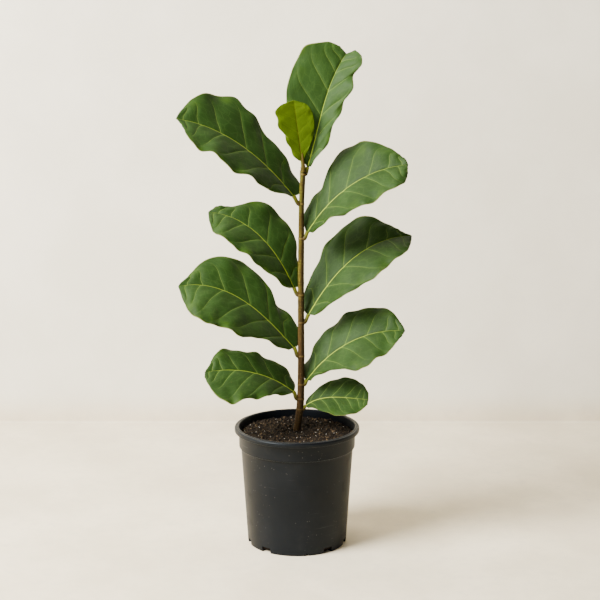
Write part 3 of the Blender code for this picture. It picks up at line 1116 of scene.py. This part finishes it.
def bladeTree():
    # Hangs a flat blade on its midrib: tilted, folded, rippled, puckered and grooved.
    inputs = {
        "Midrib": ("Object", None),
        "Length": ("Float", 0.15),
        "Side": ("Float", 1.0),
        "Tilt": ("Float", 0.6),
        "Fold": ("Float", 0.1),
        "Ripple": ("Float", 0.002),
        "Phase": ("Float", 0.0),
        "Waves": ("Float", 3.2),
        "Pucker": ("Float", 0.001),
        "Scallop": ("Float", 0.001),
        "Groove": ("Float", 0.001),
        "Curl": ("Float", 0.001),
        "Material": ("Material", None),
    }
    tree, bench, given = newTree("drapedBlade", inputs)

    def held(name, kind="FLOAT"):
        return bench.node("GeometryNodeInputNamedAttribute", {"data_type": kind}, **{"Name": name})

    def vectors(operation, first, second, name="Vector"):
        made = bench.make("ShaderNodeVectorMath", {"operation": operation}, first, second)
        return Wire(bench, made.outputs[name])

    along, out, _ = bench.parts(bench.node("GeometryNodeInputPosition"))
    on = along.most(0.0).least(given["Length"])
    line = bench.make("GeometryNodeObjectInfo", {"transform_space": "ORIGINAL"}, given["Midrib"])
    sampled = bench.make(
        "GeometryNodeSampleCurve",
        {"mode": "LENGTH"},
        **{"Curves": Wire(bench, line.outputs["Geometry"]), "Length": on},
    )
    place = bench.out(sampled, "Position")
    forward = bench.out(sampled, "Tangent")
    level = vectors("NORMALIZE", vectors("CROSS_PRODUCT", forward, (0.0, 0.0, 1.0)), (0.0, 0.0, 0.0))
    level = bench.scaled(level, given["Side"])
    upright = bench.scaled(vectors("CROSS_PRODUCT", level, forward), given["Side"])
    tiltSin, tiltCos = given["Tilt"].sin(), given["Tilt"].math("COSINE", given["Tilt"])
    back = vectors("ADD", bench.scaled(level, tiltCos), bench.scaled(upright, tiltSin))
    up = vectors("SUBTRACT", bench.scaled(upright, tiltCos), bench.scaled(level, tiltSin))

    rib, reach, gap = held("rib"), held("reach"), held("ribGap")
    half = out.math("SIGN", out)
    toVein = ((rib + 0.5).fraction() - 0.5).abs() * gap
    quilt = (rib.fraction() * math.pi).sin().most(0.0)
    crown = (reach * math.pi).sin().most(0.0)
    lift = out.abs() * given["Fold"].sin()
    wave = given["Phase"] + half + along / given["Length"] * given["Waves"] * 2 * math.pi
    lift = lift + given["Ripple"] * wave.sin() * reach * reach
    lift = lift + given["Ripple"] * 0.5 * (wave * 1.9 + half * 2).sin() * reach**4
    lift = lift - given["Curl"] * reach.between(0.78, 1.05)
    lift = lift + given["Pucker"] * quilt * (crown * 0.75 + reach * 0.25)
    lift = lift + given["Scallop"] * (rib * 2 * math.pi + given["Phase"]).sin() * (reach**3)
    flatPlace = held("flat", "FLOAT_VECTOR")
    swell = bench.noise(flatPlace, 42.0, 2.0, 0.5)
    lift = lift + (swell - 0.5) * given["Pucker"] * 2.2 * reach.between(0.0, 0.25)
    lift = lift - given["Groove"] * out.abs().between(0.0034, 0.0)
    lift = lift - given["Groove"] * 0.75 * toVein.between(0.0028, 0.0) * reach.between(1.0, 0.55)

    place = vectors("ADD", place, bench.scaled(forward, along - on))
    foldCos = given["Fold"].math("COSINE", given["Fold"])
    place = vectors("ADD", place, bench.scaled(back, out * foldCos))
    place = vectors("ADD", place, bench.scaled(up, lift))
    draped = bench.moved(given["Geometry"], Position=place)
    draped = bench.node("GeometryNodeSetShadeSmooth", None, draped)
    endTree(bench, draped, given["Material"])
    return tree


leafTones = {
    "grown": {
        "deep": (0.0105, 0.0292, 0.0034),
        "mid": (0.0192, 0.0472, 0.0082),
        "fresh": (0.042, 0.090, 0.0040),
        "net": (0.050, 0.100, 0.018),
        "rib": (0.16, 0.24, 0.040),
        "midrib": (0.27, 0.36, 0.028),
        "margin": (0.15, 0.18, 0.026),
        "veins": 0.72,
        "roughness": 0.48,
        "shine": 0.10,
    },
    # The young leaf's brighter tones are partly its own paler colour, partly painted light shining through
    # the thin blade
    "young": {
        "deep": (0.040, 0.072, 0.0000),
        "mid": (0.058, 0.102, 0.0001),
        "fresh": (0.075, 0.130, 0.0003),
        "net": (0.062, 0.108, 0.0003),
        "rib": (0.085, 0.130, 0.001),
        "midrib": (0.050, 0.042, 0.003),
        "margin": (0.095, 0.15, 0.001),
        "veins": 0.4,
        "roughness": 0.42,
        "shine": 0.10,
    },
}


def ribMasks(bench):
    # Where the side veins, the midrib and the fine network lie on the blade.
    rib, gap = bench.attribute("rib"), bench.attribute("ribGap")
    reach, run = bench.attribute("reach"), bench.attribute("run")
    flat = bench.attribute("flat", vector=True)
    along, out, _ = bench.parts(flat)
    wander = (bench.noise(flat, 14.0, 0.0) - 0.5) * 0.10
    strayed = rib + wander * reach.between(0.0, 0.3)
    toVein = ((strayed + 0.5).fraction() - 0.5).abs() * gap
    width = 0.00035 * (1 - 0.5 * reach)
    vein = (toVein / width).between(1.3, 0.35) * rib.between(0.4, 0.6)
    vein = vein * (1 - reach.between(0.62, 0.95) * 0.85)
    midWidth = 0.00082 * (1 - 0.62 * run)
    midrib = (out.abs() / midWidth).between(1.2, 0.6)
    rung = bench.vector(strayed * 2.6, out * 120, out.math("SIGN", out) * 5)
    net = bench.cells(rung, 1.0, "DISTANCE_TO_EDGE").between(0.06, 0.0)
    mesh = bench.cells(flat, 430.0, "DISTANCE_TO_EDGE").between(0.12, 0.0)
    return flat, reach, run, toVein, vein, midrib, net, mesh


def leafTopMaterial(name, tones):
    bench, finish = newMaterial(name)
    flat, reach, run, toVein, vein, midrib, net, mesh = ribMasks(bench)
    cloud = bench.noise(flat, 20.0, 3.0)
    patch = bench.noise(flat, 130.0, 4.0)
    # The age value darkens or lightens the blade; above 1 the lighter tone is painted sheen
    age = bench.attribute("age")
    share = (cloud * 0.7 + patch * 0.3 + (age - 0.5) * 0.45).between(0.34, 0.68)
    tone = bench.blend(share, tones["deep"], tones["mid"])
    lobe = bench.noise(flat, 31.0, 2.0).between(0.45, 0.7) * reach.between(0.55, 1.0)
    tone = bench.blend(lobe * 0.45, tone, tones["fresh"])
    halo = toVein.between(0.0045, 0.0003) * 0.25 * (1 - reach)
    tone = bench.blend(halo + net * 0.16 + mesh * 0.06, tone, tones["net"])
    tone = bench.blend(vein * 0.62 * tones["veins"], tone, tones["rib"])
    tone = bench.blend(midrib * (1.0 - run * 0.6), tone, tones["midrib"])
    # Pale margin line: partly the margin's own paler tissue, partly a painted highlight where light catches
    # the edge
    tone = bench.blend(reach.between(0.978, 0.996) * 0.6, tone, tones["margin"])
    spot = bench.cells(flat, 85.0).between(0.07, 0.045) * bench.noise(flat, 16.0).between(0.60, 0.66)
    tone = bench.blend(spot * 0.6, tone, (0.11, 0.075, 0.02))
    rough = tones["roughness"] + patch * 0.12 + cloud * 0.06 + vein * 0.06
    height = net * -0.25 - mesh * 0.12 - vein * 0.7 - midrib * 0.7 + patch * 0.35
    normal = bench.bump(height, 0.35, 0.0006)
    shine = tones["shine"]
    return finish(tone, rough, normal, shine)


def leafUnderMaterial(name, pale):
    bench, finish = newMaterial(name)
    flat, reach, run, toVein, vein, midrib, net, mesh = ribMasks(bench)
    cloud = bench.noise(flat, 30.0, 3.0)
    dark = tuple(0.62 * c for c in pale)
    tone = bench.blend(cloud.between(0.3, 0.7), dark, pale)
    tone = bench.blend(net * 0.5 + mesh * 0.22, tone, tuple(min(1, 1.55 * c) for c in pale))
    tone = bench.blend(vein * 0.7 + midrib * 0.7, tone, (0.30, 0.35, 0.10))
    normal = bench.bump(net * 0.9 + mesh * 0.4 + vein, 0.5, 0.0007)
    return finish(tone, 0.62, normal, 0.2)


def edgeMaterial():
    bench, finish = newMaterial("leafEdge")
    flat = bench.attribute("flat", vector=True)
    tone = bench.blend(bench.noise(flat, 90.0), (0.05, 0.07, 0.008), (0.13, 0.15, 0.025))
    return finish(tone, 0.5)


def ribMaterial():
    bench, finish = newMaterial("ribPale")
    place = bench.place()
    grain = bench.noise(place, 260.0, 3.0)
    tone = bench.blend(grain.between(0.3, 0.7), (0.15, 0.19, 0.05), (0.24, 0.28, 0.09))
    return finish(tone, 0.5, bench.bump(grain, 0.2, 0.0004))


def stalkMaterial():
    bench, finish = newMaterial("stalkGreen")
    place = bench.place()
    run = bench.attribute("run")
    grain = bench.noise(place, 420.0, 3.0)
    ripe = (run + (grain - 0.5) * 0.6).between(0.1, 0.9)
    tone = bench.blend(ripe, (0.040, 0.027, 0.0035), (0.105, 0.120, 0.007))
    pale = bench.cells(place, 700.0).between(0.25, 0.1)
    tone = bench.blend(pale * 0.3, tone, (0.26, 0.27, 0.07))
    normal = bench.bump(grain, 0.3, 0.0005)
    return finish(tone, 0.5, normal, 0.18)


stalkShape = {"radius": 2.55, "flare": 1.25, "youngRadius": 1.15, "inStem": 1.4, "points": 40}
stemTop = (stemFound[-1, 1], (stemBox[1].z - soilTopAtStem) / mm)


def stalkChain(name, leaf):
    start, out, base = bladeBase(name, leaf)
    young = name == "young_leaf"
    climb = climbAt(leaf, 0)
    forward = headingVector(leaf["heading"]) * math.cos(climb) + Vector((0, 0, math.sin(climb)))
    pull = (base - start).length * 0.42
    lift = Vector((0, 0, 1)) if young else out * 0.75 + Vector((0, 0, 0.45))
    first, last = start + lift * pull * 0.8, base - forward * pull
    start = start - out * stalkShape["inStem"]
    radius = stalkShape["youngRadius"] if young else stalkShape["radius"]
    if leaf["length"] < 100 and not young:
        radius *= 0.8
    places, radii, runs = [], [], []
    for i in range(stalkShape["points"]):
        t = i / (stalkShape["points"] - 1)
        place = start * (1 - t) ** 3 + first * 3 * t * (1 - t) ** 2
        place += last * 3 * t**2 * (1 - t) + base * t**3
        flare = 0 if young else (stalkShape["flare"] - 1) * hump(t, 0.08, 0.22)
        places.append(place)
        radii.append(radius * (1 + flare + 0.10 * hump(t, 1.0, 0.14)))
        runs.append(t)
    return places, radii, runs


def makeBlade(name, leaf, tree, materials):
    _, _, base = bladeBase(name, leaf)
    line = midribCurve(name, leaf, base)
    blade, ribs = flatBlade(f"{name}_blade", leaf)
    small = min(1, leaf["length"] / 150)
    ripple, phase = leaf["ripple"]
    values = {
        "Midrib": line,
        "Length": leaf["length"] * mm,
        "Side": float(leafSide(leaf)),
        "Tilt": math.radians(leaf["tilt"]),
        "Fold": math.radians(leaf["fold"]),
        "Ripple": ripple * mm,
        "Phase": float(phase),
        "Waves": bladeShape["waves"],
        "Pucker": bladeShape["pucker"] * small * leaf.get("relief", 1) * mm,
        "Scallop": bladeShape["scallop"] * small * mm,
        "Groove": bladeShape["groove"] * small * leaf.get("relief", 1) * mm,
        "Curl": bladeShape["curl"] * small * mm,
        "Material": materials[0],
    }
    runTree(blade, tree, values)
    bpy.data.objects.remove(line)
    width = 2 * bladeShape["columns"] + 1
    count = len(blade.data.vertices)
    places = np.zeros(count * 3, np.float32)
    ups = np.zeros(count * 3, np.float32)
    blade.data.vertices.foreach_get("co", places)
    blade.data.vertices.foreach_get("normal", ups)
    places = places.reshape(-1, width, 3) / mm
    ups = ups.reshape(-1, width, 3)
    chains = ribChains(leaf, places, ups, ribs)
    for material in materials[1:]:
        blade.data.materials.append(material)
    solid = blade.modifiers.new("thickness", "SOLIDIFY")
    solid.thickness = bladeShape["thickness"] * mm
    solid.offset = 0
    solid.material_offset = 1
    solid.material_offset_rim = 2
    applied(blade)
    return blade, chains


def ribChains(leaf, places, ups, ribs):
    # Raised ribs on the underside: the midrib and one for each side vein.
    middle = bladeShape["columns"]
    depth = bladeShape["thickness"] / 2
    small = min(1, leaf["length"] / 150)
    chains = []
    thick, thin = bladeShape["midribGirth"]
    count = len(places)
    radii = [small * (thick + (thin - thick) * (i / count) ** 1.4) for i in range(count)]
    spine = [places[i][middle] - ups[i][middle] * (depth + 0.55 * radii[i]) for i in range(count)]
    chains.append((spine[2:-3], radii[2:-3]))
    thick, thin = bladeShape["ribGirth"]
    rows = np.arange(count)
    for side in (1, -1):
        for number in range(1, math.ceil(ribs[-1][middle])):
            points, radii = [], []
            for step in range(1, middle - 1):
                column = middle + side * step
                row = np.interp(number, ribs[:, column], rows)
                if not 1 < row < count - 2:
                    continue
                radius = small * (thick + (thin - thick) * (step / middle) ** 0.8)
                place = [np.interp(row, rows, places[:, column, axis]) for axis in range(3)]
                up = [np.interp(row, rows, ups[:, column, axis]) for axis in range(3)]
                points.append(np.array(place) - np.array(up) * (depth + 0.4 * radius))
                radii.append(radius)
            if len(points) > 8:
                chains.append((points, radii))
    return [([Vector(p) * mm for p in points], [r * mm for r in radii]) for points, radii in chains]


def makeLeaves():
    tree = bladeTree()
    grown = [
        leafTopMaterial("leafGreen", leafTones["grown"]),
        leafUnderMaterial("leafUnder", (0.070, 0.115, 0.036)),
    ]
    young = [
        leafTopMaterial("youngLeaf", leafTones["young"]),
        leafUnderMaterial("youngUnder", (0.15, 0.22, 0.02)),
    ]
    edge, rib, stalk = edgeMaterial(), ribMaterial(), stalkMaterial()
    for name, leaf in leaves.items():
        isYoung = name == "young_leaf"
        blade, chains = makeBlade(name, leaf, tree, [*(young if isYoung else grown), edge])
        settle(blade, "young_green" if isYoung else "leaf_green", name)
        ribs = makeBar(f"{name}_ribs", chains, rib, sides=8)
        settle(ribs, "stalk_green")
        places, radii, runs = stalkChain(name, leaf)
        chain = ([toWorld(p) for p in places], [r * mm for r in radii])
        bar = makeBar(f"{name}_petiole", [chain], stalk, sides=24, wrinkle=0.25 * mm, scale=260, run=runs)
        settle(bar, "stalk_green", f"{name}_stalk")
        print(blade.name, len(blade.data.polygons), "faces")


def barkMaterial():
    bench, finish = newMaterial("youngBark")
    place = bench.place()
    x, y, height = bench.parts(place)
    ring, scar, run = bench.attribute("ring"), bench.attribute("scar"), bench.attribute("run")
    across = (x - bench.attribute("middle")) * 250  # -1 and 1 at the stem's two sides
    streak = bench.noise(bench.vector(x * 5, y * 5, height * 0.7), 170.0, 4.0)
    patch = bench.noise(place, 70.0, 4.0)
    low = bench.blend(streak.between(0.3, 0.7), (0.014, 0.0080, 0.0018), (0.066, 0.034, 0.0075))
    high = bench.blend(streak.between(0.3, 0.7), (0.034, 0.026, 0.0018), (0.120, 0.100, 0.0070))
    tone = bench.blend((run + (patch - 0.5) * 0.4).between(0.30, 0.68), low, high)
    green = (run + (patch - 0.5) * 0.2).between(0.78, 0.92)
    tone = bench.blend(green * 0.5, tone, (0.085, 0.090, 0.005))
    pore = bench.cells(bench.vector(x, y, height * 0.45), 520.0).between(0.22, 0.10)
    worn = bench.noise(bench.vector(x * 2, y * 2, height), 46.0, 3.0).between(0.47, 0.62)
    tone = bench.blend(worn * 0.62, tone, (0.045, 0.022, 0.0045))
    shadow = (across + (streak - 0.5) * 0.7).between(-0.5, 0.45)
    tone = bench.blend(shadow * 0.85, tone, (0.018, 0.0105, 0.0020))
    tone = bench.blend(pore * bench.noise(place, 140.0).between(0.5, 0.6) * 0.6, tone, (0.24, 0.18, 0.07))
    tone = bench.blend(scar * (0.25 + run * 0.5), tone, (0.150, 0.098, 0.028))
    tone = bench.blend(ring * 0.8, tone, (0.018, 0.010, 0.003))
    crack = bench.noise(bench.vector(x * 9, y * 9, height), 260.0, 3.0)
    normal = bench.bump(crack * 0.8 + pore * 0.4, 0.5, 0.0006)
    rough = 0.6 + patch * 0.15
    return finish(tone, rough, normal, 0.14)


def sheathMaterial():
    bench, finish = newMaterial("drySheath")
    place = bench.place()
    x, y, height = bench.parts(place)
    streak = bench.noise(bench.vector(x * 8, y * 8, height), 320.0, 4.0)
    tone = bench.blend(streak.between(0.3, 0.7), (0.020, 0.014, 0.0018), (0.090, 0.066, 0.0070))
    normal = bench.bump(streak, 0.5, 0.0005)
    return finish(tone, 0.66, normal, 0.15)


def makeStem():
    top = stemTop[1]
    heights = np.linspace(-stemShape["buried"], top, stemShape["rows"])
    nodes = [leaf["at"] for leaf in leaves.values()]
    oldNodes = list(stemShape["oldNodes"])
    places, radii, marks, scars, runs, middles = [], [], [], [], [], []
    for height in heights:
        place, radius = stemAt(max(height, 0))
        place.z = height
        swell = sum(stemShape["ringLift"] * hump(height, at, 1.5) for at in nodes)
        swell += sum(stemShape["oldRingLift"] * hump(height, at, 0.7) for at in oldNodes)
        places.append(toWorld(place))
        radii.append((radius + swell) * mm)
        above = sum(hump(height, at + 2.2, 0.4) for at in nodes + oldNodes)
        below = sum(hump(height, at - 1.6, 0.35) for at in nodes + oldNodes)
        marks.append(min(1, above + below))
        scars.append(min(1, sum(hump(height, at + 0.5, 1.1) for at in nodes)))
        runs.append(max(height, 0) / top)
        middles.append(place.x * mm)
    bark = barkMaterial()
    values = {"ring": marks, "scar": scars, "run": runs, "middle": middles}
    stem = makeBar("woody_stem", [(places, radii)], bark, 40, 0.5 * mm, 330, **values)
    settle(stem, "bark", "stem")


sheathShape = {
    "foot": (0.4, -0.4, -1.2),  # from the middle of the stem's top, in mm
    "points": 36,
    "scales": (  # side, lean, length and girth in mm
        (0.0, -1.2, 25, 2.9),
        (-2.3, -1.4, 6.5, 1.0),
        (1.6, 2.2, 6.0, 0.9),
    ),
}


def makeSheath():
    foot = Vector((stemTop[0], 0, stemTop[1])) + Vector(sheathShape["foot"])
    chains = []
    for side, lean, length, girth in sheathShape["scales"]:
        places, radii = [], []
        for i in range(sheathShape["points"]):
            t = i / (sheathShape["points"] - 1)
            places.append(toWorld(foot + Vector((side + lean * t**1.5, -1.1 * t, length * t))))
            radii.append(girth * mm * (1 + 0.12 * math.sin(math.pi * t)) * (1 - 0.82 * t**1.5))
        chains.append((places, radii))
    sheath = makeBar("dry_sheath", chains, sheathMaterial(), 20, 0.35 * mm, 420)
    settle(sheath, "sheath_brown", "bud_sheath")


makeLeaves()
print("leaves made")
makeStem()
makeSheath()
print("stem made")

boxes = {"cad": cadBox, "visual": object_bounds()}
{key: [list(map(float, corner)) for corner in box] for key, box in boxes.items()}
print("all pieces made")
